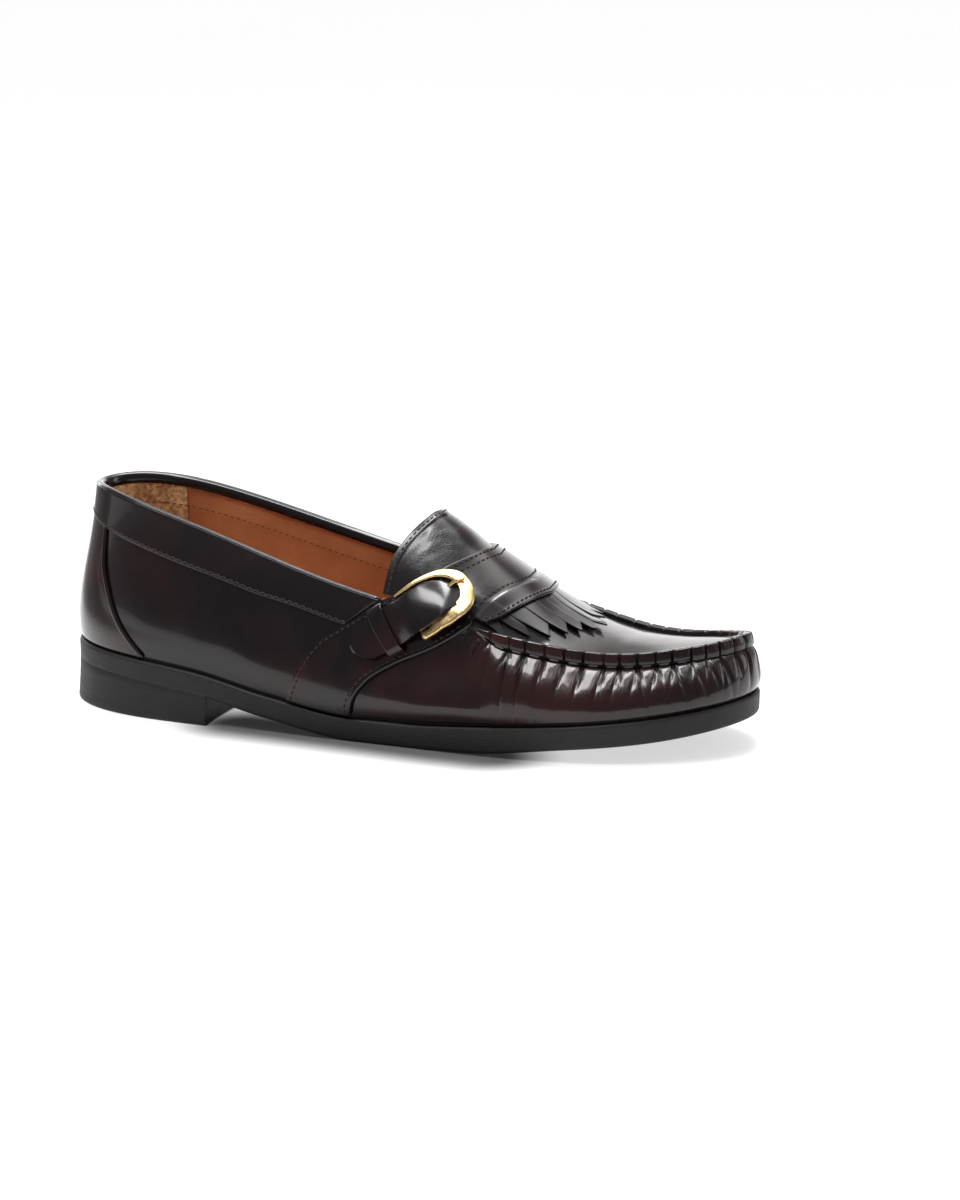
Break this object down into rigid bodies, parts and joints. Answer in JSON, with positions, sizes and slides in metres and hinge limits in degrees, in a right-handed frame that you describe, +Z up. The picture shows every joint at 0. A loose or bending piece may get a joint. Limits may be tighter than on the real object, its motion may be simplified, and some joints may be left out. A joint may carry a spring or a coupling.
{
  "type": "buckle loafer",
  "caption": "Slip-on dress loafer for the right foot, with moccasin toe seam, fringed saddle, side strap and gilt buckle on a low heeled sole.",
  "frame": {"origin": "middle of the shoe's bounding box, on the floor that the heel and forefoot stand on", "axes": "+X from heel to toe, +Y to the medial side (the wearer's left), +Z up from the floor"},
  "size_m": [0.29, 0.1004, 0.0902],
  "materials": {
    "polished_leather": "gloss",
    "lining_leather": "satin",
    "sole_rubber": "matte",
    "gilt_metal": "polished"
  },
  "bodies": {
    "root": {"outsole": "sole_rubber", "heel": "sole_rubber", "insole": "lining_leather", "upper": "polished_leather", "tongue": "polished_leather", "collar_band": "polished_leather", "heel_counter": "polished_leather", "saddle": "polished_leather", "kiltie": "polished_leather", "strap": "polished_leather", "keeper": "polished_leather", "buckle": "gilt_metal", "prong": "gilt_metal"}
  },
  "joints": []
}
